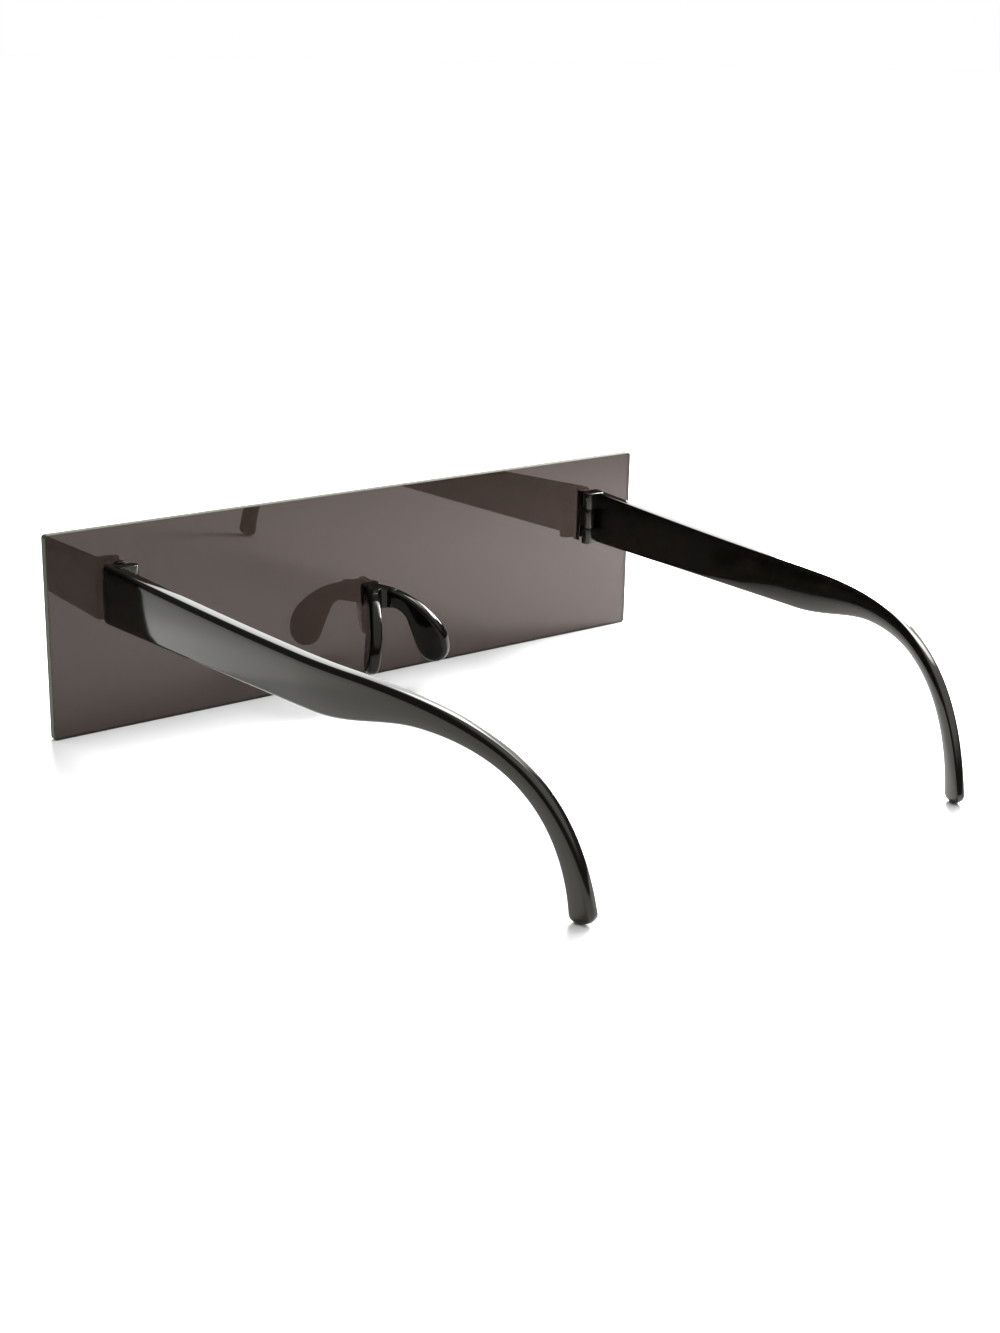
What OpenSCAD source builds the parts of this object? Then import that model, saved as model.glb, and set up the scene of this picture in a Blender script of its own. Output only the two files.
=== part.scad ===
// Wide one-piece shield sunglasses, seen standing on the lens and the two temple tips.
// X runs to the wearer's left, Y from the lens towards the ears, Z up.
// The origin is the middle of the lens's lower edge, at mid-thickness.

/* [Lens] */
// Width of the flat shield lens
lens_w = 155; // [145:1:165]
// Height of the lens
lens_h = 43; // [40:1:50]
// Thickness of the lens sheet
lens_t = 1.8; // [1.2:0.1:2.6]
// Radius of the four lens corners
lens_corner_r = 0.8; // [0.4:0.1:3]

/* [Temples] */
// Distance from a lens end to the inner face of the temple beside it
temple_inset = 14.5; // [11:0.5:20]
// Height of the temples' upper edge above the floor, at the lens
temple_top_z = 35.7; // [34:0.1:38]
// Height of the temple bar at the hinge
temple_front_h = 12.3; // [11:0.1:14]
// Thickness of the temple bar at the hinge
temple_front_t = 3.4; // [2.8:0.1:4]
// Thickness of the temple at its tip
temple_tip_t = 2.5; // [1.8:0.1:2.8]
// Gap between the lens and the front end of an open temple
temple_end_gap = 1.3; // [0.6:0.1:1.8]
// Inward lean of the straight part of a temple, in degrees
temple_splay = 3; // [0:0.5:4]
// Length of the straight part of a temple
straight_len = 68; // [60:1:75]
// Inward turn of the temple behind its straight part, in degrees
inward_bend = 18; // [10:1:22]
// Radius of that inward turn
inward_bend_r = 175; // [150:5:220]
// Distance from the lens to the rearmost point of the temples
temple_reach = 132.2; // [125:0.2:140]
// Drop of the upper edge along the straight part
top_edge_drop = 2.6; // [1:0.1:4]
// Distance from the lens to where the upper edge starts to fall
hook_start = 80; // [75:1:85]
// Distance from the lens to where the lower edge starts to rise
swell_start = 73; // [68:1:78]
// Length over which the lower edge rises into the ear hook
swell_len = 25; // [20:1:30]
// Rise of the lower edge into the ear hook
swell_rise = 3.3; // [2:0.1:4.5]
// Width of the temple tip, seen from the side
tip_w = 4.8; // [4:0.1:6]
// Radius of the tip's two corners
tip_corner_r = 1.7; // [1.2:0.1:1.9]
// Lean of the hook's rear edge from upright at the tip, in degrees
hook_rear_lean = 11.5; // [6:0.5:16]
// Lean of the hook's front edge from upright at the tip, in degrees
hook_front_lean = 6; // [2:0.5:10]

/* [Nose bridge] */
// Height of the bridge's upper edge above the floor
bridge_top_z = 21.9; // [20:0.1:24]
// Height of the bridge's arms where they leave the lens
bridge_arm_h = 4.9; // [4:0.1:6]
// Thickness of the two wings
wing_t = 2.7; // [2:0.1:3.2]
// Half of the angle between the wings, in degrees
wing_spread = 26; // [24:1:34]
// Distance between the middle lines of the two wings at the lens
wing_root_gap = 0.2; // [0:0.2:2]
// Length of a wing from the lens to its rear edge
wing_len = 19.4; // [18:0.2:21]
// Radius of the long curve in which the wing's upper edge falls
wing_back_r = 20; // [17:1:24]
// Radius of the wing's upper rear corner
wing_crown_r = 7.5; // [6:0.5:9]
// Width of the nose pad at its upper end
pad_w = 9.4; // [8.8:0.1:10]
// Radius of the pad's lower end
pad_end_r = 3.8; // [3.2:0.1:4.2]
// Height of the pads' lower end above the floor
pad_bottom_z = 5.3; // [3:0.1:6]
// Outward lean of the pads towards their lower end, in degrees
pad_lean = 8; // [4:1:14]
// Radius of the hollow between arm and pad
crook_r = 3.8; // [3.4:0.1:4.2]
// Radius of the rounded saddle between the two wings
saddle_r = 1.8; // [1:0.1:2.4]
// Width of the foot that is cemented to the lens
bridge_foot_w = 4.4; // [3.6:0.1:6]
// Depth of that foot
bridge_foot_d = 1.4; // [1:0.1:2.4]

/* [Hinges] */
// Outer diameter of the hinge knuckles
knuckle_d = 3; // [2.8:0.1:3.4]
// Height of the middle knuckle, which belongs to the lens bracket
tang_h = 4.5; // [3.5:0.1:5.5]
// Distance from the lens's rear face to the hinge axis
pin_setback = 4.1; // [3.8:0.1:5]
// Gap between the tang and the two outer knuckles
knuckle_gap = 0.15; // [0.1:0.05:0.25]
// Gap between the tang and the temple's inner face
hinge_side_gap = 0.3; // [0.25:0.05:0.5]
// Thickness of the bracket plate that is cemented to the lens
plate_t = 1.2; // [0.8:0.1:1.6]
// Width of that plate and of the stem on it
plate_w = 1.8; // [1.5:0.1:2.4]
// Shank diameter of the hinge screw
screw_d = 1.4; // [1:0.1:1.5]
// Head diameter of the hinge screw
screw_head_d = 2; // [1.8:0.1:2.2]
// Head height of the hinge screw
screw_head_h = 0.7; // [0.5:0.05:0.9]
// Width of the slot in the screw head
screw_slot_w = 0.35; // [0.25:0.05:0.45]
// Radial clearance around the screw's shank
screw_fit = 0.05; // [0.03:0.01:0.08]
// Radial clearance around the screw's head
head_fit = 0.1; // [0.08:0.01:0.12]
// Wall left above the blind screw hole
blind_wall = 1.1; // [0.8:0.1:1.5]

/* [Hidden] */

lens_colour = [0.38, 0.34, 0.33, 0.6];
frame_colour = [0.06, 0.06, 0.06];
screw_colour = [0.7, 0.7, 0.72];

// Overlap that makes joined solids share volume, and overshoot of a cutting solid
lap = 0.5;
// Steps in a long free curve and in an arc
curve_steps = 28;
arc_steps = 14;
// Facets of the hinge's round solids and of the lens corners
round_facets = 48;
corner_facets = 32;

back_y = lens_t / 2;
front_y = back_y + temple_end_gap;
head_gap = lens_w - 2 * temple_inset;
rear_y = back_y + temple_reach;
temple_bottom_z = temple_top_z - temple_front_h;

pin_y = back_y + pin_setback;
knuckle_r = knuckle_d / 2;
pin_x = inner_x(pin_y) - hinge_side_gap - knuckle_r;
tang_z = temple_top_z - temple_front_h / 2 - tang_h / 2;
low_knuckle_h = tang_z - knuckle_gap - temple_bottom_z;
screw_r = screw_d / 2;
screw_head_r = screw_head_d / 2;
screw_seat_z = temple_bottom_z + screw_head_h + head_fit;
screw_top_z = temple_top_z - blind_wall - 2 * head_fit;

// Points that follow a rule
function arc(c, r, a0, a1, n = arc_steps) =
    [for (i = [0:n]) c + r * [cos(a0 + (a1 - a0) * i / n), sin(a0 + (a1 - a0) * i / n)]];
function bezier(a, b, c, d, n = curve_steps) =
    [for (i = [0:n]) let (t = i / n, u = 1 - t)
        u * u * u * a + 3 * u * u * t * b + 3 * u * t * t * c + t * t * t * d];
function toward(angle) = [cos(angle), sin(angle)];

// Plan of the temple: its inner face runs straight, turns inward, then runs straight again
bend_y = back_y + straight_len;
bend_end_y = bend_y + inward_bend_r * (sin(inward_bend) - sin(temple_splay));
bend_x = head_gap / 2 - straight_len * tan(temple_splay);
bend_end_x = bend_x - inward_bend_r * (cos(temple_splay) - cos(inward_bend));
function inner_x(y) = head_gap / 2 - (y - back_y) * tan(temple_splay);
function lean_at(y) = y <= bend_y ? temple_splay : y >= bend_end_y ? inward_bend
    : asin(sin(temple_splay) + (y - bend_y) / inward_bend_r);
function thickness_at(y) = temple_front_t
    + (temple_tip_t - temple_front_t) * min(1, max(0, (y - bend_y) / (rear_y - bend_y)));
function offset_out(p) = p + thickness_at(p[1]) * [cos(lean_at(p[1])), sin(lean_at(p[1]))];
inner_line = concat(
    [[inner_x(back_y - lap), back_y - lap]],
    arc([bend_x - inward_bend_r * cos(temple_splay), bend_y - inward_bend_r * sin(temple_splay)],
        inward_bend_r, temple_splay, inward_bend),
    [[bend_end_x - (rear_y + lap - bend_end_y) * tan(inward_bend), rear_y + lap]]);
function reversed(list) = [for (i = [len(list) - 1:-1:0]) list[i]];

module temple_plan() {
    polygon(concat(inner_line, reversed([for (p = inner_line) offset_out(p)])));
}

// Side outline of the temple: a straight bar, a swelling, and the ear hook with a blunt tip,
// which is cut square to the hook's axis and rounded at both corners
tip_axis = (hook_rear_lean + hook_front_lean) / 2;
tip_flat = tip_w - 2 * tip_corner_r;
front_corner = [rear_y - tip_corner_r - tip_flat * cos(tip_axis), tip_corner_r];
rear_corner = front_corner + tip_flat * toward(tip_axis);
bar_top = [front_y, temple_top_z];
bar_bottom = [front_y, temple_bottom_z];
hook_top = [back_y + hook_start, temple_top_z - top_edge_drop];
bar_bottom_rise = 0.25;
swell_foot = [back_y + swell_start, temple_bottom_z + bar_bottom_rise];
swell_top = swell_foot + [swell_len, swell_rise];
rear_end = rear_corner + tip_corner_r * toward(hook_rear_lean);
front_end = front_corner + tip_corner_r * toward(180 + hook_front_lean);
// Reach of each curve's tangents, as shares of the span that the curve crosses, and the bar's
// slope at its front and rear, as shares of the mean slope
bar_ease = 0.34;
bar_front_slope = 1.4;
bar_rear_slope = 0.15;
rear_ease_top = 0.585;
rear_ease_tip = 0.81;
front_ease_top = 0.8;
front_ease_tip = 0.36;
swell_ease = [0.38, 0.3];

module temple_side() {
    bar_span = hook_top[0] - bar_top[0];
    rear_span = rear_end[0] - hook_top[0];
    rear_drop = hook_top[1] - rear_end[1];
    front_span = front_end[0] - swell_top[0];
    front_drop = swell_top[1] - front_end[1];
    polygon(concat(
        bezier(bar_top, bar_top + bar_ease * [bar_span, -bar_front_slope * top_edge_drop],
            hook_top - bar_ease * [bar_span, -bar_rear_slope * top_edge_drop], hook_top, arc_steps),
        bezier(hook_top, hook_top + rear_ease_top * [rear_span, 0],
            rear_end - rear_ease_tip * rear_drop * toward(hook_rear_lean - 90), rear_end),
        arc(rear_corner, tip_corner_r, hook_rear_lean, tip_axis - 90),
        arc(front_corner, tip_corner_r, tip_axis - 90, hook_front_lean - 180),
        bezier(front_end, front_end - front_ease_tip * front_drop * toward(hook_front_lean - 90),
            swell_top + front_ease_top * [front_span, 0], swell_top),
        bezier(swell_top, swell_top - swell_ease[1] * [swell_len, 0],
            swell_foot + swell_ease[0] * [swell_len, 0], swell_foot),
        [bar_bottom]));
}

// One temple on the wearer's left: the bar, and two hinge knuckles on its inner face
module temple() {
    difference() {
        union() {
            intersection() {
                linear_extrude(height = temple_top_z + lap) temple_plan();
                rotate([90, 0, 90]) linear_extrude(height = head_gap) temple_side();
            }
            knuckle(temple_bottom_z, low_knuckle_h);
            knuckle(tang_z + tang_h + knuckle_gap, low_knuckle_h);
        }
        translate([pin_x, pin_y, temple_bottom_z - lap])
            cylinder(r = screw_head_r + head_fit, h = screw_head_h + head_fit + lap,
                $fn = round_facets);
        translate([pin_x, pin_y, temple_bottom_z])
            cylinder(r = screw_r + screw_fit, h = temple_front_h - blind_wall, $fn = round_facets);
    }
}

// A knuckle is round about the hinge axis and runs square into the temple's inner face
module knuckle(z, h) {
    translate([pin_x, pin_y, z]) {
        cylinder(r = knuckle_r, h = h, $fn = round_facets);
        translate([0, -knuckle_r, 0])
            cube([hinge_side_gap + knuckle_r + lap, knuckle_d, h]);
    }
}

// The bracket is a plate on the lens with one stemmed knuckle, which the screw passes through
module hinge_bracket() {
    difference() {
        union() {
            translate([pin_x + knuckle_r - plate_w, back_y, temple_bottom_z])
                cube([plate_w, plate_t, temple_front_h]);
            translate([pin_x + knuckle_r - plate_w, back_y, tang_z])
                cube([plate_w, pin_setback, tang_h]);
            translate([pin_x, pin_y, tang_z])
                cylinder(r = knuckle_r, h = tang_h, $fn = round_facets);
        }
        translate([pin_x, pin_y, tang_z - lap])
            cylinder(r = screw_r + screw_fit, h = tang_h + 2 * lap, $fn = round_facets);
    }
}

// The screw enters from below and ends in the upper knuckle's blind hole
module hinge_screw() {
    difference() {
        union() {
            translate([pin_x, pin_y, screw_seat_z - screw_head_h])
                cylinder(r = screw_head_r, h = screw_head_h, $fn = round_facets);
            translate([pin_x, pin_y, screw_seat_z - lap / 2])
                cylinder(r = screw_r, h = screw_top_z - screw_seat_z + lap / 2, $fn = round_facets);
        }
        translate([pin_x - screw_head_r - lap, pin_y - screw_slot_w / 2,
                screw_seat_z - screw_head_h - lap])
            cube([screw_head_d + 2 * lap, screw_slot_w, screw_head_h / 2 + lap]);
    }
}

// The lens is one flat sheet with straight edges and slightly rounded corners
module lens() {
    color(lens_colour)
        translate([0, back_y, 0])
            rotate([90, 0, 0])
                linear_extrude(height = lens_t)
                    union() {
                        translate([-lens_w / 2 + lens_corner_r, 0])
                            square([lens_w - 2 * lens_corner_r, lens_h]);
                        translate([-lens_w / 2, lens_corner_r])
                            square([lens_w, lens_h - 2 * lens_corner_r]);
                        for (x = [-1, 1], z = [lens_corner_r, lens_h - lens_corner_r])
                            translate([x * (lens_w / 2 - lens_corner_r), z])
                                circle(r = lens_corner_r, $fn = corner_facets);
                    }
}

// Side outline of a wing: an arm that leaves the lens, and a pad that hangs from its rear end.
// The upper edge falls in a long curve that runs on into the crown.
arm_run = 4;
arm_fall = 0.3;
arm_slope = 5;
arm_bottom_z = bridge_top_z - bridge_arm_h;
pivot_z = bridge_top_z - bridge_arm_h / 2;
back_x = arm_run - wing_back_r * sin(arm_slope);
back_z = bridge_top_z - arm_fall - wing_back_r * cos(arm_slope);
crown_angle = acos((wing_len - wing_crown_r - back_x) / (wing_back_r - wing_crown_r));
crown_x = wing_len - wing_crown_r;
crown_z = back_z + (wing_back_r - wing_crown_r) * sin(crown_angle);
crook_x = wing_len - pad_w - crook_r;
crook_z = arm_bottom_z - crook_r;
pad_end_x = wing_len - pad_end_r;
pad_end_z = pad_bottom_z + pad_end_r;
// Angle of the pad's front edge, which touches the hollow's arc and the pad's round end
pad_taper = atan2(pad_end_z - crook_z, pad_end_x - crook_x)
    + acos((crook_r + pad_end_r) / norm([pad_end_x - crook_x, pad_end_z - crook_z]));

module wing_side() {
    polygon(concat(
        [[0, bridge_top_z]],
        arc([back_x, back_z], wing_back_r, 90 - arm_slope, crown_angle),
        arc([crown_x, crown_z], wing_crown_r, crown_angle, 0),
        arc([pad_end_x, pad_end_z], pad_end_r, 0, pad_taper - 180),
        arc([crook_x, crook_z], crook_r, pad_taper, 90),
        [[0, arm_bottom_z]]));
}

module wing() {
    translate([wing_root_gap / 2, 0, 0])
        rotate([0, 0, 90 - wing_spread])
            translate([0, 0, pivot_z])
                rotate([90 - pad_lean, 0, 0])
                    translate([-wing_t, -pivot_z, -wing_t / 2])
                        linear_extrude(height = wing_t)
                            union() {
                                translate([wing_t, 0]) wing_side();
                                translate([0, arm_bottom_z]) square([wing_t + lap, bridge_arm_h]);
                            }
}

// The sharp corner between the wings is filled to a round saddle
wing_half_t = wing_t / 2;
notch_y = (wing_half_t / cos(wing_spread) - wing_root_gap / 2) / tan(wing_spread);
saddle_y = notch_y + saddle_r / sin(wing_spread);
touch_y = saddle_y - saddle_r * sin(wing_spread);
touch_x = wing_root_gap / 2 + touch_y * tan(wing_spread);
web_top_z = bridge_top_z - arm_fall;

module saddle_plan() {
    polygon(concat(
        [[-wing_root_gap / 2 - lap, 0], [wing_root_gap / 2 + lap, 0], [touch_x, touch_y]],
        arc([0, saddle_y], saddle_r, -wing_spread, wing_spread - 180),
        [[-touch_x, touch_y]]));
}

// The bridge is moulded in one piece: two wings that meet in a foot on the lens
module nose_bridge() {
    color(frame_colour)
        translate([0, back_y, 0])
            intersection() {
                union() {
                    wing();
                    mirror([1, 0, 0]) wing();
                    translate([0, 0, arm_bottom_z])
                        linear_extrude(height = web_top_z - arm_bottom_z) saddle_plan();
                    translate([-bridge_foot_w / 2, 0, arm_bottom_z])
                        cube([bridge_foot_w, bridge_foot_d, bridge_arm_h]);
                }
                translate([-wing_len, 0, 0])
                    cube([2 * wing_len, 2 * wing_len, lens_h]);
            }
}

module hinge_bracket_left() {
    color(frame_colour) hinge_bracket();
}

module hinge_bracket_right() {
    color(frame_colour) mirror([1, 0, 0]) hinge_bracket();
}

module temple_left() {
    color(frame_colour) temple();
}

module temple_right() {
    color(frame_colour) mirror([1, 0, 0]) temple();
}

module hinge_screw_left() {
    color(screw_colour) hinge_screw();
}

module hinge_screw_right() {
    color(screw_colour) mirror([1, 0, 0]) hinge_screw();
}

lens();
nose_bridge();
hinge_bracket_left();
hinge_bracket_right();
temple_left();
temple_right();
hinge_screw_left();
hinge_screw_right();
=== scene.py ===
import math

import bmesh
import bpy
from mathutils import Matrix, Vector


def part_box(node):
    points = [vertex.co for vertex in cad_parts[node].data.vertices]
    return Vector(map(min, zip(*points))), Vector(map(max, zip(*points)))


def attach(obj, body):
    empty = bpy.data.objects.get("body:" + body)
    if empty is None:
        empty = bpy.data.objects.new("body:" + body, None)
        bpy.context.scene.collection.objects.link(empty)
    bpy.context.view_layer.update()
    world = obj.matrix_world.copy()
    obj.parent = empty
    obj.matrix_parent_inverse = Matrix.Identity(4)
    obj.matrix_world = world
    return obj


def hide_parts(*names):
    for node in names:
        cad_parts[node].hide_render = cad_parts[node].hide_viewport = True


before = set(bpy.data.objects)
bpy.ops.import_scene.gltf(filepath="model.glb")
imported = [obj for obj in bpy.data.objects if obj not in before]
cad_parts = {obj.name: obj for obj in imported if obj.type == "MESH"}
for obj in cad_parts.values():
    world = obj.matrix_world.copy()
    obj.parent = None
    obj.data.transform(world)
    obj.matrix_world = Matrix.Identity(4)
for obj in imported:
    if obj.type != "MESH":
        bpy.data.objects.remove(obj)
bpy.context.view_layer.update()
scene = bpy.context.scene
scene.view_settings.view_transform = "Standard"

# ---- Camera ----
# A short telephoto view from behind the wearer's left ear, a little above the temples, tilted
# by about a degree. The place, the aim and the focal length were solved from the object's lines.
CAMERA_PLACE = (0.2427356, 0.3533152, 0.1371519)
CAMERA_AZIMUTH, CAMERA_HEIGHT, CAMERA_ROLL = (math.radians(a) for a in (141.45, 17.477, 1.1722))
FOCAL_LENGTH, SENSOR = 53.287, 36.0
NEAREST, FARTHEST = 0.01, 50.0

toward_camera = Vector((math.sin(CAMERA_AZIMUTH) * math.cos(CAMERA_HEIGHT),
                        -math.cos(CAMERA_AZIMUTH) * math.cos(CAMERA_HEIGHT),
                        math.sin(CAMERA_HEIGHT)))
level = Vector((math.cos(CAMERA_AZIMUTH), math.sin(CAMERA_AZIMUTH), 0.0))
upright = toward_camera.cross(level)
rolled_right = math.cos(CAMERA_ROLL) * level + math.sin(CAMERA_ROLL) * upright
rolled_up = math.cos(CAMERA_ROLL) * upright - math.sin(CAMERA_ROLL) * level
camera = bpy.data.objects.new("camera", bpy.data.cameras.new("camera"))
scene.collection.objects.link(camera)
camera.data.sensor_width = SENSOR
camera.data.lens = FOCAL_LENGTH
camera.data.clip_start, camera.data.clip_end = NEAREST, FARTHEST
camera.matrix_world = Matrix.Translation(CAMERA_PLACE) @ Matrix(
    (rolled_right, rolled_up, toward_camera)).transposed().to_4x4()
scene.camera = camera

# ---- Lens ----
# One flat sheet of smoke-tinted polycarbonate, cut square with slightly rounded corners. The cut
# leaves a narrow burr-free chamfer and a matt edge that shows the sheet's green-brown body colour.
MM = 0.001
LENS_CORNER_R = 0.8 * MM
LENS_CHAMFER = 0.12 * MM
CORNER_STEPS = 10
# The Mix node's two colour sockets, which share their names with its other sockets
COLOUR_A, COLOUR_B = 6, 7


def linear(hex_colour):
    """A colour given as sRGB hex, as the linear values that the shaders take."""
    parts = [int(hex_colour[i:i + 2], 16) / 255 for i in (1, 3, 5)]
    return [c / 12.92 if c <= 0.04045 else ((c + 0.055) / 1.055) ** 2.4 for c in parts] + [1.0]


def add(tree, kind, settings=None, sockets=None):
    """Adds a node. A socket's value is a number, a colour, or the node or socket it comes from."""
    node = tree.nodes.new(kind)
    for name, value in (settings or {}).items():
        setattr(node, name, value)
    for name, value in (sockets or {}).items():
        if isinstance(value, bpy.types.Node):
            tree.links.new(next(o for o in value.outputs if o.enabled), node.inputs[name])
        elif isinstance(value, bpy.types.NodeSocket):
            tree.links.new(value, node.inputs[name])
        else:
            node.inputs[name].default_value = value
    return node


def new_material(name):
    """An empty material, its tree, and the object coordinates that its patterns follow."""
    material = bpy.data.materials.new(name)
    material.use_nodes = True
    tree = material.node_tree
    tree.nodes.clear()
    return material, tree, add(tree, "ShaderNodeTexCoord").outputs["Object"]


def new_piece(name, points, faces, materials):
    """A mesh object at the origin from points in metres."""
    mesh = bpy.data.meshes.new(name)
    mesh.from_pydata(points, [], faces)
    for material in materials:
        mesh.materials.append(material)
    piece = bpy.data.objects.new(name, mesh)
    scene.collection.objects.link(piece)
    return piece


def stands_for(piece, node, body):
    """The piece replaces one CAD node, which it hides, and rides on its body."""
    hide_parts(node)
    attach(piece, body)


# Extruded polycarbonate sheet, polished by its rollers: a clear, mirror-like skin over a dark
# body that lets about 1 percent of the light through, a little more of the red than of the blue.
# The rollers leave a wave about 22 mm long, too low to feel, that bends the mirror images a bit.
# The IOR is under polycarbonate's own 1.58, for mirror images as faint as the real sheet's.
smoke_polycarbonate, tree, place = new_material("polished_smoke_polycarbonate")
roller_wave = add(tree, "ShaderNodeTexNoise", {}, {"Vector": place, "Scale": 45.0, "Detail": 1.0})
skin = add(tree, "ShaderNodeBsdfPrincipled", {}, {
    "Base Color": linear("#201a17"), "Roughness": 0.012, "IOR": 1.49,
    "Specular Tint": linear("#f6e9e6"), "Transmission Weight": 1.0,
    "Normal": add(tree, "ShaderNodeBump", {}, {
        "Strength": 0.02, "Distance": 0.2 * MM, "Height": roller_wave})})
add(tree, "ShaderNodeOutputMaterial", {}, {"Surface": skin})

# The same sheet where the saw went through it: satin and dark olive, with the saw's fine marks
# 0.4 mm apart across the edge
cut_polycarbonate, tree, place = new_material("sawn_smoke_polycarbonate")
saw_marks = add(tree, "ShaderNodeTexNoise", {}, {
    "Vector": add(tree, "ShaderNodeMapping", {}, {
        "Vector": place, "Scale": (2500.0, 300.0, 2500.0)}),
    "Scale": 1.0, "Detail": 2.0})
skin = add(tree, "ShaderNodeBsdfPrincipled", {}, {
    "Base Color": add(tree, "ShaderNodeMix", {"data_type": "RGBA"}, {
        "Factor": saw_marks, COLOUR_A: linear("#26281a"), COLOUR_B: linear("#43462f")}),
    "Roughness": 0.5, "IOR": 1.3,
    "Normal": add(tree, "ShaderNodeBump", {}, {
        "Strength": 0.3, "Distance": 0.02 * MM, "Height": saw_marks})})
add(tree, "ShaderNodeOutputMaterial", {}, {"Surface": skin})

lens_low, lens_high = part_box("lens")


def rounded_rectangle(inset):
    """The lens's outline in x and z, drawn in by an inset, anticlockwise from its lower right."""
    outline = []
    for quarter, (x, z) in enumerate((
            (lens_high.x - LENS_CORNER_R, lens_low.z + LENS_CORNER_R),
            (lens_high.x - LENS_CORNER_R, lens_high.z - LENS_CORNER_R),
            (lens_low.x + LENS_CORNER_R, lens_high.z - LENS_CORNER_R),
            (lens_low.x + LENS_CORNER_R, lens_low.z + LENS_CORNER_R))):
        for step in range(CORNER_STEPS + 1):
            turn = math.radians(-90 + 90 * quarter + 90 * step / CORNER_STEPS)
            outline.append((x + (LENS_CORNER_R - inset) * math.cos(turn),
                            z + (LENS_CORNER_R - inset) * math.sin(turn)))
    return outline


rings = [(lens_low.y, LENS_CHAMFER), (lens_low.y + LENS_CHAMFER, 0.0),
         (lens_high.y - LENS_CHAMFER, 0.0), (lens_high.y, LENS_CHAMFER)]
points = [(x, y, z) for y, inset in rings for x, z in rounded_rectangle(inset)]
around = len(points) // len(rings)
faces = [list(range(around)), list(range(len(points) - 1, len(points) - around - 1, -1))]
for ring in range(len(rings) - 1):
    for step in range(around):
        after = (step + 1) % around
        faces.append([ring * around + after, ring * around + step,
                      (ring + 1) * around + step, (ring + 1) * around + after])
lens = new_piece("shield_lens", points, faces, [smoke_polycarbonate, cut_polycarbonate])
for face in lens.data.polygons[2:]:
    face.material_index = 1
stands_for(lens, "lens", "front")

# ---- Nose bridge ----
# One small moulding in gloss black plastic: two wings that spread from a foot cemented to the
# lens, each an arm with a nose pad hanging from it. All its edges are rounded in the mould.

# Sizes in millimetres and angles in degrees, here and in the sections below
LENS_BACK = lens_high.y / MM
BRIDGE_TOP = 21.9
ARM_HEIGHT = 4.9
ARM_RUN, ARM_FALL, ARM_SLOPE = 4.0, 0.3, 5.0
WING_LENGTH, WING_THICKNESS = 19.4, 2.7
WING_SPREAD, WING_ROOT = 26.0, 0.1
BACK_R, CROWN_R = 20.0, 7.5
PAD_WIDTH, PAD_END_R, PAD_BOTTOM, PAD_LEAN = 9.4, 3.8, 5.3, 8.0
CROOK_R = 3.8
FOOT_WIDTH, FOOT_DEPTH = 4.4, 1.4
SADDLE_R, SADDLE_FOOT = 1.8, 0.6
WING_EDGE_R = 0.9
# How far the drafts of the wings and of the foot reach into the lens before they are trimmed
WING_SUNK, FOOT_SUNK = 4.0, 1.0
ARC_STEPS, SADDLE_STEPS, EDGE_STEPS = 24, 20, 6
# The cosine of half a corner's turn, below which its point is drawn in no further
SHARPEST_CORNER = 0.3
VOXEL, SMOOTHING, SMOOTHING_PASSES = 0.15, 0.5, 8
# How much smoother and duller than its roughness a black moulding is in places
SMOOTHER, DULLER = 0.02, 0.03


def black_abs(name, colour, roughness, ripple, ior=1.46):
    """Moulded black ABS: its skin copies the mould, with faint flow marks 4.5 mm apart."""
    material, tree, place = new_material(name)
    flow = add(tree, "ShaderNodeTexNoise", {}, {"Vector": place, "Scale": 220.0, "Detail": 3.0})
    skin = add(tree, "ShaderNodeBsdfPrincipled", {}, {
        "Base Color": add(tree, "ShaderNodeMix", {"data_type": "RGBA"}, {
            "Factor": flow, COLOUR_A: linear(colour), COLOUR_B: linear("#070706")}),
        "Roughness": add(tree, "ShaderNodeMapRange", {}, {
            "Value": flow, "To Min": roughness - SMOOTHER, "To Max": roughness + DULLER}),
        "IOR": ior, "Specular Tint": linear("#fffcf0"),
        "Normal": add(tree, "ShaderNodeBump", {}, {
            "Strength": ripple, "Distance": 0.04 * MM, "Height": flow})})
    add(tree, "ShaderNodeOutputMaterial", {}, {"Surface": skin})
    return material


# A deep black that mirrors little: only the lights themselves show, as thin lines on the edges
bridge_plastic = black_abs("moulded_gloss_abs_bridge", "#050403", 0.08, 0.08, ior=1.26)


def arc(centre, radius, start, end, steps=ARC_STEPS):
    """Points on an arc, with angles in degrees."""
    turns = [math.radians(start + (end - start) * i / steps) for i in range(steps + 1)]
    return [(centre[0] + radius * math.cos(t), centre[1] + radius * math.sin(t)) for t in turns]


def drawn_in(outline, inset):
    """An anticlockwise outline with each point moved inwards by the inset."""
    moved = []
    for before, here, after in zip(outline[-1:] + outline[:-1], outline, outline[1:] + outline[:1]):
        into = (Vector(here) - Vector(before)).normalized()
        away = (Vector(after) - Vector(here)).normalized()
        normal = Vector((-into.y - away.y, into.x + away.x)).normalized()
        share = max(SHARPEST_CORNER, math.sqrt((1 + into.dot(away)) / 2))
        moved.append(tuple(Vector(here) + normal * inset / share))
    return moved


def rounded_plate(outline, thickness, edge_r):
    """A plate with rounded edges, as points (along, up, across) and faces."""
    layers = []
    for step in range(EDGE_STEPS + 1):
        turn = math.radians(90 * step / EDGE_STEPS)
        layers.append((edge_r * (1 - math.sin(turn)),
                       -thickness / 2 + edge_r * (1 - math.cos(turn))))
    layers += [(inset, -depth) for inset, depth in reversed(layers)]
    points = [(a, b, depth) for inset, depth in layers for a, b in drawn_in(outline, inset)]
    count = len(outline)
    faces = [list(range(count - 1, -1, -1)), list(range(len(points) - count, len(points)))]
    for layer in range(len(layers) - 1):
        for step in range(count):
            after = (step + 1) % count
            faces.append([layer * count + step, layer * count + after,
                          (layer + 1) * count + after, (layer + 1) * count + step])
    return points, faces


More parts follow.
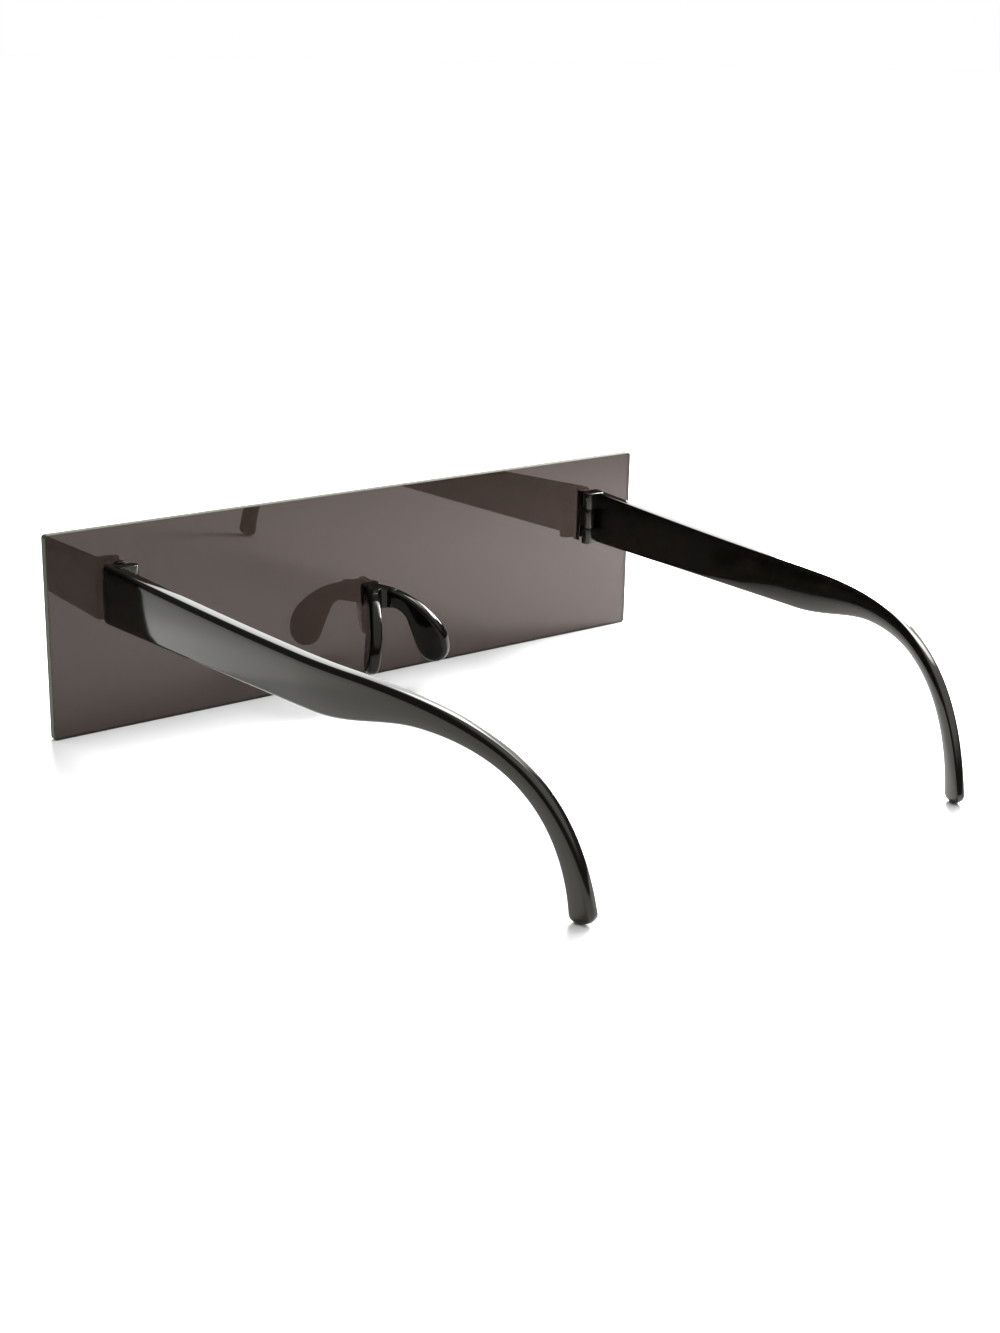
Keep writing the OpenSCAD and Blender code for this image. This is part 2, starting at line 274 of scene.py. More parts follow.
def prism(plan, low, high):
    """A solid that stands on a plan, drawn anticlockwise, as points in metres and faces."""
    count = len(plan)
    return ([(x * MM, y * MM, z * MM) for z in (low, high) for x, y in plan],
            [list(range(count - 1, -1, -1)), list(range(count, 2 * count))]
            + [[i, (i + 1) % count, count + (i + 1) % count, count + i] for i in range(count)])


# One wing, drawn flat: x runs along it from the lens's back face, and its second value is up
arm_bottom = BRIDGE_TOP - ARM_HEIGHT
pivot = BRIDGE_TOP - ARM_HEIGHT / 2
back_x = ARM_RUN - BACK_R * math.sin(math.radians(ARM_SLOPE))
back_z = BRIDGE_TOP - ARM_FALL - BACK_R * math.cos(math.radians(ARM_SLOPE))
crown_x = WING_LENGTH - CROWN_R
crown_turn = math.degrees(math.acos((crown_x - back_x) / (BACK_R - CROWN_R)))
crown_z = back_z + (BACK_R - CROWN_R) * math.sin(math.radians(crown_turn))
crook = (WING_LENGTH - PAD_WIDTH - CROOK_R, arm_bottom - CROOK_R)
pad_end = (WING_LENGTH - PAD_END_R, PAD_BOTTOM + PAD_END_R)
reach = Vector(pad_end) - Vector(crook)
pad_taper = math.degrees(math.atan2(reach.y, reach.x)
                         + math.acos((CROOK_R + PAD_END_R) / reach.length))
wing_outline = ([(-WING_SUNK, arm_bottom), (0.0, arm_bottom)]
                + arc(crook, CROOK_R, 90, pad_taper)
                + arc(pad_end, PAD_END_R, pad_taper - 180, 0)
                + arc((crown_x, crown_z), CROWN_R, 0, crown_turn)
                + arc((back_x, back_z), BACK_R, crown_turn, 90 - ARM_SLOPE)[1:]
                + [(0.0, BRIDGE_TOP), (-WING_SUNK, BRIDGE_TOP)])
wing_points, wing_faces = rounded_plate(wing_outline, WING_THICKNESS, WING_EDGE_R)
wing_turn = (Matrix.Translation((WING_ROOT, LENS_BACK, 0))
             @ Matrix.Rotation(math.radians(90 - WING_SPREAD), 4, "Z")
             @ Matrix.Translation((0, 0, pivot))
             @ Matrix.Rotation(math.radians(90 - PAD_LEAN), 4, "X")
             @ Matrix.Translation((0, -pivot, 0)))
left_wing = [wing_turn @ Vector(p) for p in wing_points]
bridge_points = [tuple(p * MM) for p in left_wing]
bridge_points += [(-p.x * MM, p.y * MM, p.z * MM) for p in left_wing]
bridge_faces = wing_faces + [[i + len(left_wing) for i in reversed(face)] for face in wing_faces]

# The saddle between the wings is hollowed to a U, so the mould fills the sharp corner there
spread = math.radians(WING_SPREAD)
notch_y = LENS_BACK + (WING_THICKNESS / 2 / math.cos(spread) - WING_ROOT) / math.tan(spread)
saddle_y = notch_y + SADDLE_R / math.sin(spread)
touch_y = saddle_y - SADDLE_R * math.sin(spread)
touch_x = WING_ROOT + (touch_y - LENS_BACK) * math.tan(spread)
saddle = [(-SADDLE_FOOT, LENS_BACK - FOOT_SUNK), (SADDLE_FOOT, LENS_BACK - FOOT_SUNK),
          (touch_x, touch_y),
          *arc((0.0, saddle_y), SADDLE_R, -WING_SPREAD, WING_SPREAD - 180, SADDLE_STEPS),
          (-touch_x, touch_y)]
foot = [(-FOOT_WIDTH / 2, LENS_BACK - FOOT_SUNK), (FOOT_WIDTH / 2, LENS_BACK - FOOT_SUNK),
        (FOOT_WIDTH / 2, LENS_BACK + FOOT_DEPTH), (-FOOT_WIDTH / 2, LENS_BACK + FOOT_DEPTH)]
for plan, top in ((saddle, BRIDGE_TOP - ARM_FALL), (foot, BRIDGE_TOP)):
    points, faces = prism(plan, arm_bottom, top)
    bridge_faces += [[i + len(bridge_points) for i in face] for face in faces]
    bridge_points += points
bridge_blank = new_piece("bridge_blank", bridge_points, bridge_faces, [bridge_plastic])
remesh = bridge_blank.modifiers.new("remesh", "REMESH")
remesh.mode, remesh.voxel_size, remesh.use_smooth_shade = "VOXEL", VOXEL * MM, True
smooth = bridge_blank.modifiers.new("smooth", "SMOOTH")
smooth.factor, smooth.iterations = SMOOTHING, SMOOTHING_PASSES


def finished(draft, name):
    """The draft with its modifiers applied, as a plain piece."""
    graph = bpy.context.evaluated_depsgraph_get()
    mesh = bpy.data.meshes.new_from_object(draft.evaluated_get(graph), depsgraph=graph)
    mesh.name = name
    piece = bpy.data.objects.new(name, mesh)
    scene.collection.objects.link(piece)
    bpy.data.objects.remove(draft)
    return piece


# What reaches into the lens is cut off flush with its back face, where the foot is cemented
nose_bridge = finished(bridge_blank, "nose_bridge_moulding")
trim = bmesh.new()
trim.from_mesh(nose_bridge.data)
bmesh.ops.bisect_plane(trim, geom=trim.verts[:] + trim.edges[:] + trim.faces[:],
                       plane_co=(0, lens_high.y, 0), plane_no=(0, -1, 0), clear_outer=True)
bmesh.ops.holes_fill(trim, edges=[e for e in trim.edges if e.is_boundary])
bmesh.ops.recalc_face_normals(trim, faces=trim.faces)
trim.to_mesh(nose_bridge.data)
trim.free()
stands_for(nose_bridge, "nose_bridge", "front")

# ---- Hinge brackets ----
# Two small black mouldings cemented behind the lens: a plate, and a stem with the middle knuckle
# of the hinge, which the temple's two knuckles close round. Edges are broken, not sharp.
BRACKET_EDGE, EDGE_CUTS = 0.16, 3
SAME_POINT = 0.001
# The turn between two faces up to which they count as one, past which the edge between them is
# shaded sharp, and past which it is broken
FLAT_TURN, BRACKET_SHARP_TURN, EDGE_TURN = (math.radians(a) for a in (1, 32, 40))

# A deep black with more shine than the bridge's: the lights are small soft spots on its edges
bracket_plastic = black_abs("moulded_gloss_abs_bracket", "#040404", 0.1, 0.1)


def break_edges(draft, width):
    """Bevels a draft's sharp edges by a width in millimetres."""
    bevel = draft.modifiers.new("broken_edge", "BEVEL")
    bevel.width, bevel.segments, bevel.limit_method = width * MM, EDGE_CUTS, "ANGLE"
    bevel.angle_limit = EDGE_TURN


# The CAD bracket's own form, merged from its loose triangles, with its edges broken
for side in ("left", "right"):
    node = "hinge_bracket_" + side
    draft = bpy.data.objects.new(node + "_draft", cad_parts[node].data.copy())
    scene.collection.objects.link(draft)
    draft.data.materials.clear()
    draft.data.materials.append(bracket_plastic)
    merged = bmesh.new()
    merged.from_mesh(draft.data)
    bmesh.ops.remove_doubles(merged, verts=merged.verts, dist=SAME_POINT * MM)
    bmesh.ops.dissolve_limit(merged, angle_limit=FLAT_TURN, verts=merged.verts,
                             edges=merged.edges)
    merged.to_mesh(draft.data)
    merged.free()
    break_edges(draft, BRACKET_EDGE)
    bracket = finished(draft, "hinge_bracket_moulding_" + side)
    bracket.data.shade_smooth()
    bracket.data.set_sharp_from_angle(angle=BRACKET_SHARP_TURN)
    stands_for(bracket, node, "front")

# ---- Temples ----
# Each temple is one gloss black moulding: a flat bar that bows inwards and curves down into an
# ear hook with a blunt tip, its long edges rounded and its two faces slightly crowned. The two
# outer knuckles of its hinge stand on the inner face.
TEMPLE_TOP, TEMPLE_HEIGHT = 35.7, 12.3
TEMPLE_THICKNESS, TIP_THICKNESS = 3.4, 2.5
HEAD_GAP = 126.0
BAR_FRONT, BAR_REAR = 2.2, 133.1
SPLAY, BEND, BEND_R = math.radians(3), math.radians(18), 175.0
BEND_START = 68.9
HOOK_TOP = (80.9, 33.1)
SWELL_FOOT, SWELL_TOP = (73.9, 23.65), (98.9, 26.95)
TIP_WIDTH, TIP_CORNER_R = 4.8, 1.7
HOOK_LEAN_REAR, HOOK_LEAN_FRONT = 11.5, 6.0
LONG_EDGE_R, FRONT_EDGE_R, FACE_CROWN = 1.1, 0.5, 0.25
EDGE_SHARES = (1.0, 0.35, 0.55, 0.55)
FACE_POINTS = (0.8, 0.4, 0.0, -0.4, -0.8)
STATION_SPACING = 1.2
FRONT_STEPS, TIP_STEPS = 4, 12
# The edges' curves: their handles, as shares of their runs and drops, and the steps they take
BAR_HANDLE, BAR_START_SLOPE, BAR_END_SLOPE = 0.34, 1.4, 0.15
HOOK_HANDLES, SWELL_HANDLES, INNER_HANDLES = (0.585, 0.81), (0.38, 0.3), (0.8, 0.36)
BAR_STEPS, HOOK_STEPS, SWELL_STEPS, INNER_STEPS = 400, 600, 300, 400
SEAM_GAP = 0.002
# The x of a face's normal up to which it counts as part of the inner face
INNER_FACING = -0.8
TEMPLE_SHARP_TURN = math.radians(34)

# Brown-black, polished like a piano lid: it shows the studio's lights as clear bright bands
temple_plastic = black_abs("moulded_gloss_abs_temple", "#0b0906", 0.07, 0.06)
# The same plastic from the duller half of the mould: the lights spread into a soft grey sheen
inner_plastic = black_abs("moulded_satin_abs_temple", "#0b0906", 0.32, 0.06)

bend_end = BEND_START + BEND_R * (math.sin(BEND) - math.sin(SPLAY))


def lean(y):
    """Inward turn of the temple's plan at a distance y behind the lens."""
    bent = math.sin(SPLAY) + (y - BEND_START) / BEND_R
    return math.asin(min(math.sin(BEND), max(math.sin(SPLAY), bent)))


def middle_of_bar(y):
    """Half thickness along x, and the x of the middle of the bar, at a distance y."""
    share = min(1.0, max(0.0, (y - BEND_START) / (BAR_REAR - BEND_START)))
    half = (TEMPLE_THICKNESS + (TIP_THICKNESS - TEMPLE_THICKNESS) * share) / 2
    inner = HEAD_GAP / 2 - (min(y, BEND_START) - LENS_BACK) * math.tan(SPLAY)
    inner -= (BEND_R * (math.cos(SPLAY) - math.cos(lean(y)))
              + max(0.0, y - bend_end) * math.tan(BEND))
    return half, inner + half / math.cos(lean(y))


def bezier(a, b, c, d, steps):
    """Points (y, z) on a cubic curve."""
    a, b, c, d = (Vector(p) for p in (a, b, c, d))
    return [a * (1 - t) ** 3 + b * 3 * t * (1 - t) ** 2 + c * 3 * t * t * (1 - t) + d * t ** 3
            for t in (i / steps for i in range(steps + 1))]


def toward(degrees):
    """The unit vector (y, z) at an angle from the y axis."""
    return Vector((math.cos(math.radians(degrees)), math.sin(math.radians(degrees))))


# The tip's two rounded corners, and where the hook's rear and front edges run into them
tip_axis = (HOOK_LEAN_REAR + HOOK_LEAN_FRONT) / 2
tip_flat = (TIP_WIDTH - 2 * TIP_CORNER_R) * toward(tip_axis)
rear_corner = Vector((BAR_REAR - TIP_CORNER_R, TIP_CORNER_R + tip_flat.y))
front_corner = rear_corner - tip_flat
rear_end = rear_corner + TIP_CORNER_R * toward(HOOK_LEAN_REAR)
front_end = front_corner + TIP_CORNER_R * toward(180 + HOOK_LEAN_FRONT)

# The upper edge: nearly straight to the top of the hook, then round and down to the tip
bar_top, hook_top = Vector((BAR_FRONT, TEMPLE_TOP)), Vector(HOOK_TOP)
bar_span, bar_drop = hook_top.x - bar_top.x, bar_top.y - hook_top.y
hook_run, hook_drop = rear_end.x - hook_top.x, hook_top.y - rear_end.y
upper = bezier(bar_top,
               bar_top + BAR_HANDLE * Vector((bar_span, -BAR_START_SLOPE * bar_drop)),
               hook_top - BAR_HANDLE * Vector((bar_span, -BAR_END_SLOPE * bar_drop)),
               hook_top, BAR_STEPS)
upper += bezier(hook_top, hook_top + Vector((HOOK_HANDLES[0] * hook_run, 0)),
                rear_end - HOOK_HANDLES[1] * hook_drop * toward(HOOK_LEAN_REAR - 90),
                rear_end, HOOK_STEPS)[1:]

# The lower edge: straight, up the swell where the bar narrows, then down the hook's inner side
bar_foot, swell_foot, swell_top = (Vector(p) for p in (
    (BAR_FRONT, TEMPLE_TOP - TEMPLE_HEIGHT), SWELL_FOOT, SWELL_TOP))
swell_run = swell_top.x - swell_foot.x
inner_run, inner_drop = front_end.x - swell_top.x, swell_top.y - front_end.y
lower = bezier(bar_foot, bar_foot, swell_foot, swell_foot, BAR_STEPS)
lower += bezier(swell_foot, swell_foot + Vector((SWELL_HANDLES[0] * swell_run, 0)),
                swell_top - Vector((SWELL_HANDLES[1] * swell_run, 0)),
                swell_top, SWELL_STEPS)[1:]
lower += bezier(swell_top, swell_top + Vector((INNER_HANDLES[0] * inner_run, 0)),
                front_end - INNER_HANDLES[1] * inner_drop * toward(HOOK_LEAN_FRONT - 90),
                front_end, INNER_STEPS)[1:]


def square_across(point, along):
    """The point of the lower edge that lies square across the bar from a point of the upper one."""
    lag = None
    for j in range(1, len(lower) - 1):
        step = (lower[j + 1] - lower[j - 1]).normalized()
        ahead = (lower[j] - point).dot((along + step).normalized())
        if ahead >= 0:
            if lag is None:
                return lower[j]
            return lower[j - 1].lerp(lower[j], lag / (lag + ahead))
        lag = -ahead
    return lower[-1]


# Stations along the bar: (upper point, lower point, how far the section is drawn in). Where that
# is below zero only the thickness is drawn in, and the first and the last one close the ends.
stations = [(bar_top, bar_foot, TEMPLE_HEIGHT / 2)]
for step in range(FRONT_STEPS + 1):
    turn = math.radians(90 * step / FRONT_STEPS)
    y = BAR_FRONT + FRONT_EDGE_R * (1 - math.cos(turn))
    stations.append((Vector((y, bar_top.y)), Vector((y, bar_foot.y)),
                     FRONT_EDGE_R * (1 - math.sin(turn))))
run = 0.0
for before, here, after in zip(upper, upper[1:], upper[2:]):
    run += (here - before).length
    if run >= STATION_SPACING and here.x > BAR_FRONT + STATION_SPACING:
        run = 0.0
        stations.append((here, square_across(here, (after - before).normalized()), 0.0))
half_turn = 90 + (HOOK_LEAN_REAR - HOOK_LEAN_FRONT) / 2
for step in range(TIP_STEPS + 1):
    turn = half_turn * (1 - step / TIP_STEPS)
    inset = LONG_EDGE_R - TIP_CORNER_R * (1 - math.cos(math.radians(turn)))
    stations.append((rear_corner + TIP_CORNER_R * toward(tip_axis - 90 + turn),
                     front_corner + TIP_CORNER_R * toward(tip_axis - 90 - turn),
                     math.sqrt(LONG_EDGE_R ** 2 - inset ** 2) - LONG_EDGE_R if inset > 0 else 0.0))
tip_middle = (stations[-1][0] + stations[-1][1]) / 2
stations.append((tip_middle, tip_middle, TIP_THICKNESS))

# What each station tells the sweep: its middle, its two directions and its half thickness and
# height. Where the bar turns inwards, its thickness would show past both edges from the side by
# the lead, less what the rounded edge gives back, so the section is drawn in by that much.
path = {"middle": [], "rise": [], "outward": [], "half_size": []}
for upper_point, lower_point, inset in stations:
    centre, across = (upper_point + lower_point) / 2, upper_point - lower_point
    half, turned_in = middle_of_bar(centre.x)[0], lean(centre.x)
    shift = across.normalized() * min(max(inset, 0.0), across.length / 2)
    slant = math.sin(turned_in)
    lead = half * slant - LONG_EDGE_R * (1 + slant - math.hypot(1, slant))
    shift.x += across.normalized().x * lead
    low, high = (Vector((middle_of_bar(p.x)[1], p.x, p.y)) for p in (
        lower_point + shift, upper_point - shift))
    path["middle"].append((low + high) / 2 * MM)
    path["rise"].append((high - low).normalized())
    path["outward"].append(Vector((math.cos(turned_in), math.sin(turned_in), 0.0)))
    path["half_size"].append(Vector((max(0.0, half - abs(inset)), (high - low).length / 2, 0)) * MM)

# The section that is carried along: its four corners with the way each point of their rounding
# faces, and between them points on the two faces, so that these can take the crown. A corner's
# third value is its share of the edge radius: full on the outer upper edge, less on the inner
# upper, inner lower and outer lower ones.
section = {"corner": [], "turn": []}
for quarter, (side_x, side_z) in enumerate(((1, 1), (-1, 1), (-1, -1), (1, -1))):
    for turn in (math.radians(90 * quarter + 90 * i / EDGE_STEPS) for i in range(EDGE_STEPS + 1)):
        section["corner"].append(Vector((side_x, side_z, EDGE_SHARES[quarter])))
        section["turn"].append(Vector((math.cos(turn), math.sin(turn), 0)))
    if quarter in (1, 3):
        for share in FACE_POINTS:
            section["corner"].append(Vector((side_x, side_z * share, 1.0)))
            section["turn"].append(Vector((side_x, 0, 0)))


def swept_bar(name, path, section, material):
    """Geometry nodes carry the section along the path and close it into a bar."""
    carrier = new_piece(name + "_path", path["middle"], [], [material])
    pattern = new_piece(name + "_section", section["corner"], [], [])
    for mesh, keys, values in ((carrier.data, ("rise", "outward", "half_size"), path),
                               (pattern.data, ("turn",), section)):
        for key in keys:
            stored = mesh.attributes.new(key, "FLOAT_VECTOR", "POINT").data
            stored.foreach_set("vector", [part for vector in values[key] for part in vector])
    tree = bpy.data.node_groups.new(name, "GeometryNodeTree")
    sockets = {}
    for label, kind in (("Path", "NodeSocketGeometry"), ("Section", "NodeSocketObject"),
                        ("Stations", "NodeSocketInt"), ("Section Points", "NodeSocketInt"),
                        ("Edge Radius", "NodeSocketFloat"), ("Face Crown", "NodeSocketFloat"),
                        ("Material", "NodeSocketMaterial")):
        sockets[label] = tree.interface.new_socket(name=label, in_out="INPUT", socket_type=kind)
    tree.interface.new_socket(name="Bar", in_out="OUTPUT", socket_type="NodeSocketGeometry")
    given = add(tree, "NodeGroupInput").outputs
    shape = add(tree, "GeometryNodeObjectInfo", {}, {"Object": given["Section"]})

    # A grid has one row of points for each station, and each row has one point more than the
    # section, so that it meets itself. These are the row and the section's point for each index.
    # The half that is added keeps the division from falling just short of a whole row.
    columns = add(tree, "ShaderNodeMath", {"operation": "ADD"}, {
        0: given["Section Points"], 1: 1.0})
    index = add(tree, "GeometryNodeInputIndex")
    inside = add(tree, "ShaderNodeMath", {"operation": "ADD"}, {0: index, 1: 0.5})
    row = add(tree, "ShaderNodeMath", {"operation": "DIVIDE"}, {0: inside, 1: columns})
    row = add(tree, "ShaderNodeMath", {"operation": "FLOOR"}, {0: row})
    passed = add(tree, "ShaderNodeMath", {"operation": "MULTIPLY"}, {0: row, 1: columns})
    step = add(tree, "ShaderNodeMath", {"operation": "SUBTRACT"}, {0: index, 1: passed})
    step = add(tree, "ShaderNodeMath", {"operation": "MODULO"}, {
        0: step, 1: given["Section Points"]})
    told = {}
    for key, attribute, source, place in (
            ("middle", "position", given["Path"], row), ("rise", "rise", given["Path"], row),
            ("outward", "outward", given["Path"], row),
            ("half_size", "half_size", given["Path"], row),
            ("corner", "position", shape.outputs["Geometry"], step),
            ("turn", "turn", shape.outputs["Geometry"], step)):
        value = add(tree, "GeometryNodeInputNamedAttribute", {"data_type": "FLOAT_VECTOR"},
                    {"Name": attribute})
        told[key] = add(tree, "GeometryNodeSampleIndex", {
            "data_type": "FLOAT_VECTOR", "domain": "POINT"}, {
            "Geometry": source, "Value": value, "Index": place})

    # The point's way off the middle: to its corner, less the edge radius, then round the edge
    half = add(tree, "ShaderNodeSeparateXYZ", {}, {0: told["half_size"]}).outputs
    radius = add(tree, "ShaderNodeMath", {"operation": "MINIMUM"}, {0: half[0], 1: half[1]})
    radius = add(tree, "ShaderNodeMath", {"operation": "MINIMUM"}, {
        0: radius, 1: given["Edge Radius"]})
    share = add(tree, "ShaderNodeSeparateXYZ", {}, {0: told["corner"]}).outputs[2]
    radius = add(tree, "ShaderNodeMath", {"operation": "MULTIPLY"}, {0: radius, 1: share})
    flat = add(tree, "ShaderNodeVectorMath", {"operation": "SUBTRACT"}, {
        0: told["half_size"], 1: radius})
    rounding = add(tree, "ShaderNodeVectorMath", {"operation": "MULTIPLY"}, {
        0: told["turn"], 1: radius})
    offset = add(tree, "ShaderNodeVectorMath", {"operation": "MULTIPLY_ADD"}, {
        0: told["corner"], 1: flat, 2: rounding})

    # The crown: the bar narrows with the square of the height above or below its middle
    share = add(tree, "ShaderNodeVectorMath", {"operation": "DIVIDE"}, {
        0: offset, 1: told["half_size"]})
    share = add(tree, "ShaderNodeSeparateXYZ", {}, {0: share}).outputs[1]
    square = add(tree, "ShaderNodeMath", {"operation": "MULTIPLY"}, {0: share, 1: share})
    crown = add(tree, "ShaderNodeMath", {"operation": "DIVIDE"}, {
        0: given["Face Crown"], 1: half[0]})
    lost = add(tree, "ShaderNodeMath", {"operation": "MULTIPLY"}, {0: square, 1: crown})
    kept = add(tree, "ShaderNodeMath", {"operation": "SUBTRACT"}, {0: 1.0, 1: lost})
    away = add(tree, "ShaderNodeSeparateXYZ", {}, {0: offset}).outputs
    side = add(tree, "ShaderNodeMath", {"operation": "MULTIPLY"}, {0: away[0], 1: kept})
    placed = add(tree, "ShaderNodeVectorMath", {"operation": "MULTIPLY_ADD"}, {
        0: told["rise"], 1: away[1], 2: told["middle"]})
    placed = add(tree, "ShaderNodeVectorMath", {"operation": "MULTIPLY_ADD"}, {
        0: told["outward"], 1: side, 2: placed})

    grid = add(tree, "GeometryNodeMeshGrid", {}, {
        "Vertices X": given["Stations"], "Vertices Y": columns})
    moved = add(tree, "GeometryNodeSetPosition", {}, {"Geometry": grid, "Position": placed})
    closed = add(tree, "GeometryNodeMergeByDistance", {}, {
        "Geometry": moved, "Distance": SEAM_GAP * MM})
    real = add(tree, "GeometryNodeRealizeInstances", {}, {"Geometry": closed})
    coloured = add(tree, "GeometryNodeSetMaterial", {}, {
        "Geometry": real, "Material": given["Material"]})
    add(tree, "NodeGroupOutput", {}, {"Bar": coloured})
    sweep = carrier.modifiers.new("sweep", "NODES")
    sweep.node_group = tree
    for label, value in (("Section", pattern), ("Stations", len(path["middle"])),
                         ("Section Points", len(section["corner"])),
                         ("Edge Radius", LONG_EDGE_R * MM), ("Face Crown", FACE_CROWN * MM),
                         ("Material", material)):
        sweep[sockets[label].identifier] = value
    bar = finished(carrier, name)
    bpy.data.objects.remove(pattern)
    return bar


# The left bar: its faces are turned outwards, and those on the side of the head are satin
bar = swept_bar("temple_bar", path, section, temple_plastic)
closing = bmesh.new()
closing.from_mesh(bar.data)
bmesh.ops.recalc_face_normals(closing, faces=closing.faces)
closing.to_mesh(bar.data)
closing.free()
bar.data.materials.append(inner_plastic)
for polygon in bar.data.polygons:
    if polygon.normal.x < INNER_FACING:
        polygon.material_index = 1

# The knuckles round the hinge's axis, which reach into the bar, and the bores for the screw and
# for its head
PIN = Vector((60.985128, 5.0))
KNUCKLE_R, KNUCKLE_REACH = 1.5, 3.2
KNUCKLE_HEIGHTS = ((23.4, 27.15), (31.95, 35.7))
KNUCKLE_EDGE = 0.18
BORE_R, BORE_TOP = 0.75, 34.6
HEAD_BORE_R, HEAD_BORE_TOP = 1.1, 24.2
BORE_FOOT = KNUCKLE_HEIGHTS[0][0] - 1
BORE_SIDES = 48


def join_or_cut(piece, tool, operation):
    """Joins a tool to a piece or cuts it away, and removes the tool."""
    boolean = piece.modifiers.new(operation.lower(), "BOOLEAN")
    boolean.operation, boolean.object, boolean.solver = operation, tool, "EXACT"
    piece = finished(piece, piece.name + "_")
    bpy.data.objects.remove(tool)
    return piece


for low, high in KNUCKLE_HEIGHTS:
    plan = arc(PIN, KNUCKLE_R, 90, 270) + [(PIN.x + KNUCKLE_REACH, PIN.y - KNUCKLE_R),
                                           (PIN.x + KNUCKLE_REACH, PIN.y + KNUCKLE_R)]
    knuckle = new_piece("knuckle", *prism(plan, low, high), [temple_plastic])
    break_edges(knuckle, KNUCKLE_EDGE)
    bar = join_or_cut(bar, finished(knuckle, "knuckle_finished"), "UNION")
for radius, top in ((BORE_R, BORE_TOP), (HEAD_BORE_R, HEAD_BORE_TOP)):
    plan = arc(PIN, radius, 0, 360 - 360 / BORE_SIDES, BORE_SIDES - 1)
    bore = new_piece("bore", *prism(plan, BORE_FOOT, top), [temple_plastic])
    bar = join_or_cut(bar, bore, "DIFFERENCE")
bar.data.shade_smooth()
bar.data.set_sharp_from_angle(angle=TEMPLE_SHARP_TURN)

# The right temple is its mirror image, with the faces turned outwards again
other = bpy.data.objects.new("temple_moulding_right", bar.data.copy())
scene.collection.objects.link(other)
other.data.transform(Matrix.Scale(-1, 4, (1, 0, 0)))
other.data.flip_normals()
bar.name = "temple_moulding_left"
for side, temple in (("left", bar), ("right", other)):
    stands_for(temple, "temple_" + side, side + "_temple")

# ---- Hinge screws ----
# A nickel-plated steel screw, 1.4 mm, enters each hinge from below; its slotted head sits in the
# lower knuckle. The CAD solids have the right shape and only take the finish.

# Steel turned on a lathe and thinly plated with nickel: a warm grey metal, with the turning's fine
# rings about 0.1 mm apart, which blur its reflections unevenly
screw_steel, tree, place = new_material("turned_nickel_plated_steel")
turning = add(tree, "ShaderNodeTexNoise", {}, {
    "Vector": add(tree, "ShaderNodeMapping", {}, {
        "Vector": place, "Scale": (400.0, 400.0, 9000.0)}),
    "Scale": 1.0, "Detail": 2.0})
skin = add(tree, "ShaderNodeBsdfPrincipled", {}, {
    "Base Color": linear("#b9b4ab"), "Metallic": 1.0,
    "Roughness": add(tree, "ShaderNodeMapRange", {}, {
        "Value": turning, "To Min": 0.2, "To Max": 0.36})})
add(tree, "ShaderNodeOutputMaterial", {}, {"Surface": skin})
for side in ("left", "right"):
    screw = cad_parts["hinge_screw_" + side]
    screw.data.materials.clear()
    screw.data.materials.append(screw_steel)

# ---- Floor and light ----
# A satin white table that runs out of sight, in a dim room with three bright parts: a broad one
# overhead, a tall one on the wearer's right in front, and a strip light over the right temple. A
# soft box stands close by on the right, a small one low in front, and both fade quickly.
FLOOR_HALF = 12.0
ROOM_LIGHT = 0.13

# White acrylic, satin: an even white with a faint, blurred image of what stands on it
floor_white, tree, _ = new_material("satin_white_acrylic")
skin = add(tree, "ShaderNodeBsdfPrincipled", {}, {
    "Base Color": linear("#f2f2f2"), "Roughness": 0.32, "IOR": 1.4})
add(tree, "ShaderNodeOutputMaterial", {}, {"Surface": skin})
floor = new_piece("floor", [(-FLOOR_HALF, -FLOOR_HALF, 0), (FLOOR_HALF, -FLOOR_HALF, 0),
                            (FLOOR_HALF, FLOOR_HALF, 0), (-FLOOR_HALF, FLOOR_HALF, 0)],
                  [[0, 1, 2, 3]], [floor_white])

for name, spot, aim, size, watts in (
        ("soft_box_right", (-0.24, -0.035, 0.14), (-0.06, 0.05, 0.0), 0.12, 2.7),
        ("soft_box_front", (0.106, -0.045, 0.035), (0.106, -0.045, 0.0), 0.03, 0.014)):
    box = bpy.data.objects.new(name, bpy.data.lights.new(name, "AREA"))
    scene.collection.objects.link(box)
    box.data.shape, box.data.size, box.data.energy = "SQUARE", size, watts
    box.location = spot
    box.rotation_euler = (Vector(spot) - Vector(aim)).to_track_quat("Z", "Y").to_euler()

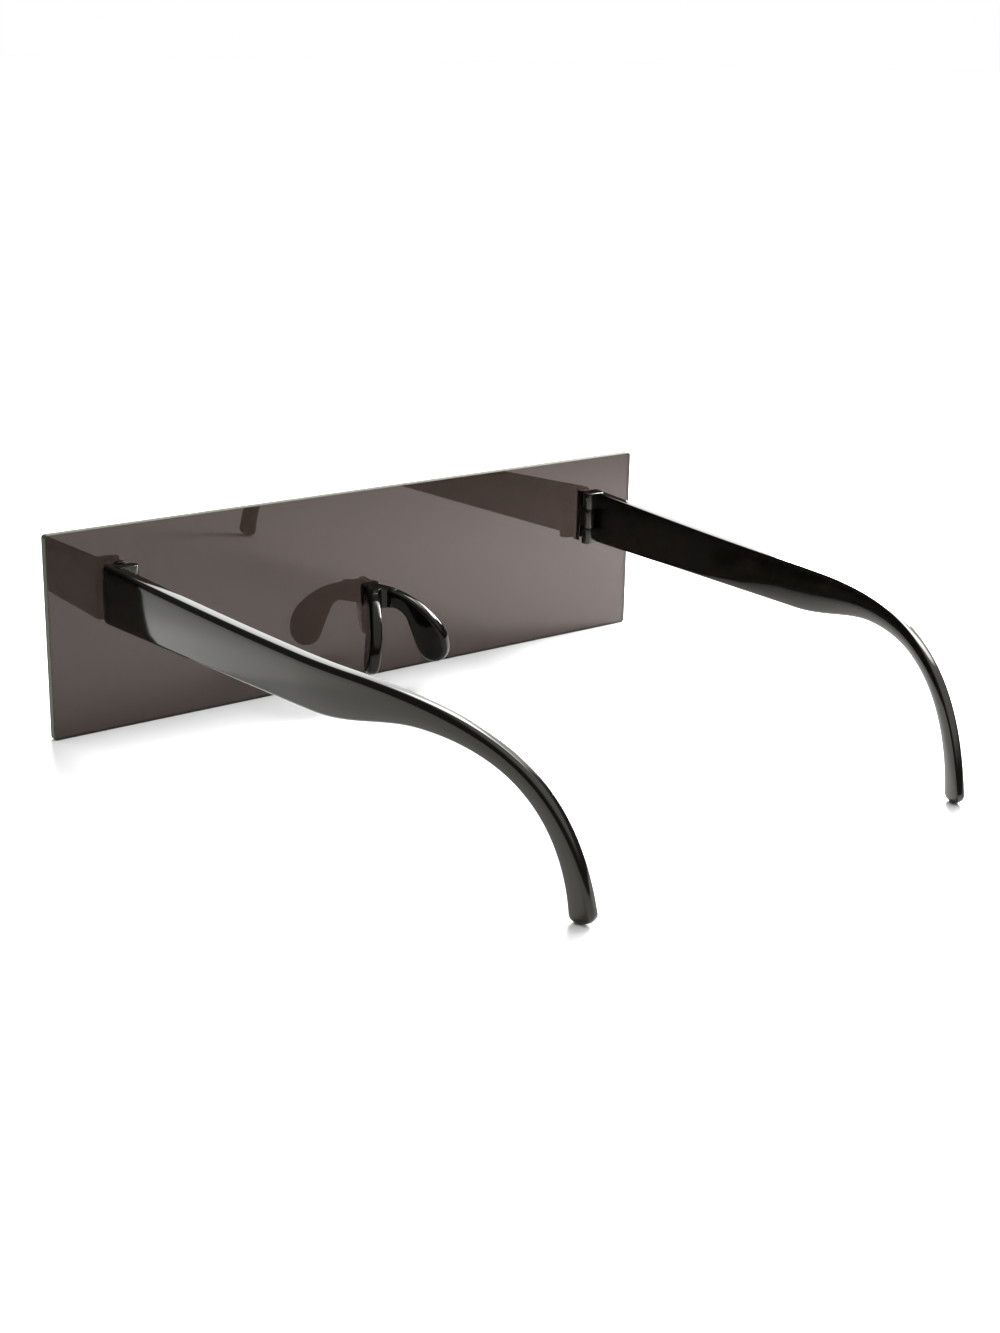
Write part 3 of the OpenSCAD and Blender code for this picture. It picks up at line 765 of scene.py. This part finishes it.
world = bpy.data.worlds.new("studio")
scene.world = world
world.use_nodes = True
tree = world.node_tree
tree.nodes.clear()
direction = add(tree, "ShaderNodeTexCoord").outputs["Generated"]
parts = add(tree, "ShaderNodeSeparateXYZ", {}, {0: direction}).outputs
bearing = add(tree, "ShaderNodeCombineXYZ", {}, {0: parts[0], 1: parts[1]})
bearing = add(tree, "ShaderNodeVectorMath", {"operation": "NORMALIZE"}, {0: bearing})

# Each bright part: its strength, and its limits as directions with the cosines where the light
# is gone and where it is full. The upper edges of the gloss black temples show the last two.
UP, BACK, RIGHT = (0.0, 0.0, 1.0), (0.0, 1.0, 0.0), (-1.0, 0.0, 0.0)
OVERHEAD, RIGHT_IN_FRONT = (-0.15, 0.45, 0.88), (-0.788, -0.616, 0.0)
light = ROOM_LIGHT
for strength, limits in (
        (1.5, ((direction, OVERHEAD, 0.6, 0.85),)),
        (3.4, ((bearing, RIGHT_IN_FRONT, 0.79, 0.89),
               (direction, UP, 0.08, 0.14), (direction, UP, 0.92, 0.80))),
        (14.0, ((direction, RIGHT, 0.47, 0.52), (direction, RIGHT, 0.66, 0.62),
                (direction, UP, 0.45, 0.60), (direction, BACK, 0.20, 0.05)))):
    for source, facing, gone, full in limits:
        cosine = add(tree, "ShaderNodeVectorMath", {"operation": "DOT_PRODUCT"}, {
            0: source, 1: Vector(facing).normalized()})
        share = add(tree, "ShaderNodeMapRange", {"interpolation_type": "SMOOTHSTEP"}, {
            "Value": cosine, "From Min": gone, "From Max": full})
        strength = add(tree, "ShaderNodeMath", {"operation": "MULTIPLY"}, {
            0: strength, 1: share})
    light = add(tree, "ShaderNodeMath", {"operation": "ADD"}, {0: light, 1: strength})

# The camera itself sees the room as plain white, where the table ends
room = add(tree, "ShaderNodeBackground", {}, {"Color": (1, 1, 1, 1), "Strength": light})
seen = add(tree, "ShaderNodeBackground", {}, {"Color": (1, 1, 1, 1), "Strength": 1.0})
mixed = add(tree, "ShaderNodeMixShader", {}, {
    0: add(tree, "ShaderNodeLightPath").outputs["Is Camera Ray"], 1: room, 2: seen})
add(tree, "ShaderNodeOutputWorld", {}, {"Surface": mixed})
